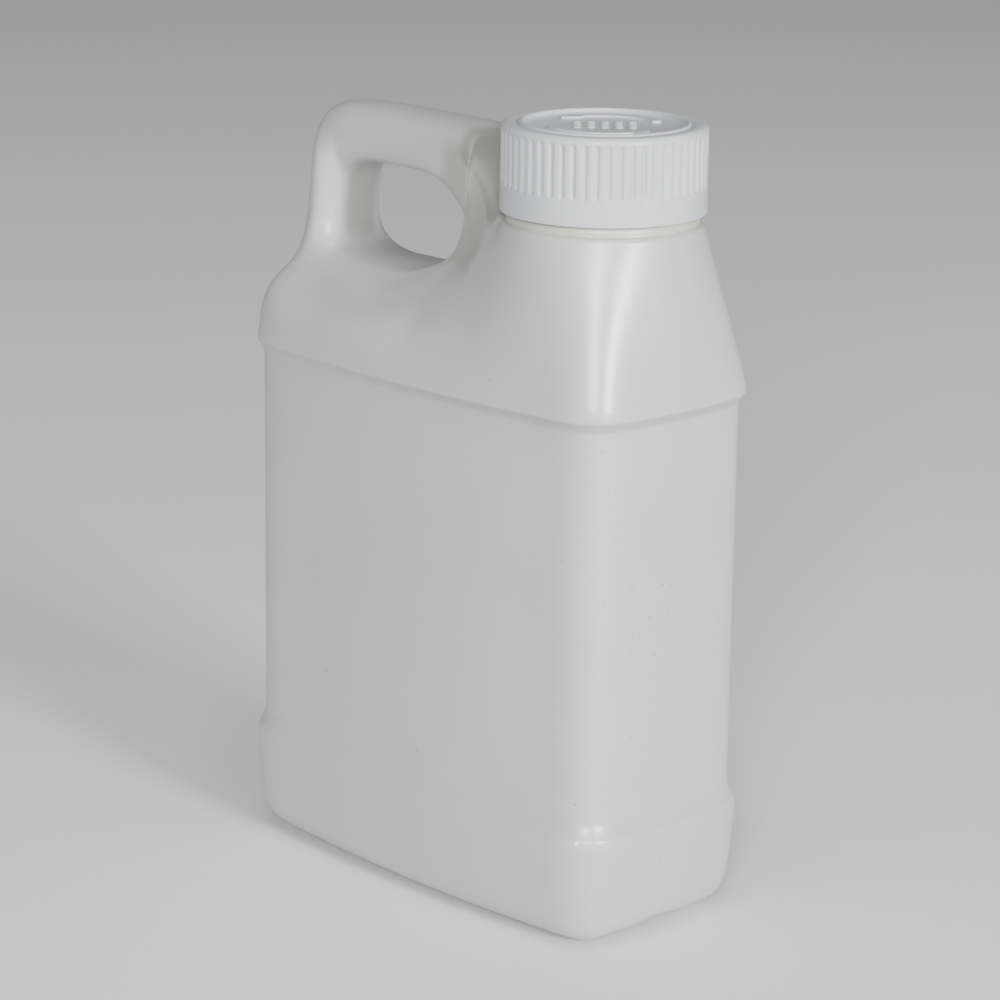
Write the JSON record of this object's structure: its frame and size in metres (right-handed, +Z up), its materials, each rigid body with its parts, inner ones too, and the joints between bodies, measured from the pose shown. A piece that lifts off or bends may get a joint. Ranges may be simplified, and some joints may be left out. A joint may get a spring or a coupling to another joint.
{
  "type": "f-style jug with screw cap",
  "caption": "Upright oblong plastic jug with rounded corners, a side handle with a finger hole, ridges round base and shoulder, and a ribbed screw cap at one end.",
  "frame": {"origin": "under the middle of the body, at the height of the two runners that it stands on", "axes": "+X along the wide face towards the neck and cap, +Y across the narrow depth, +Z up; the parting plane is Y = 0"},
  "size_m": [0.1164, 0.0578, 0.1744],
  "materials": {
    "jug_plastic": "satin natural white polyethylene",
    "cap_plastic": "semi-gloss white moulded plastic"
  },
  "bodies": {
    "root": {"jug": "jug_plastic", "cap": "cap_plastic"}
  },
  "joints": []
}
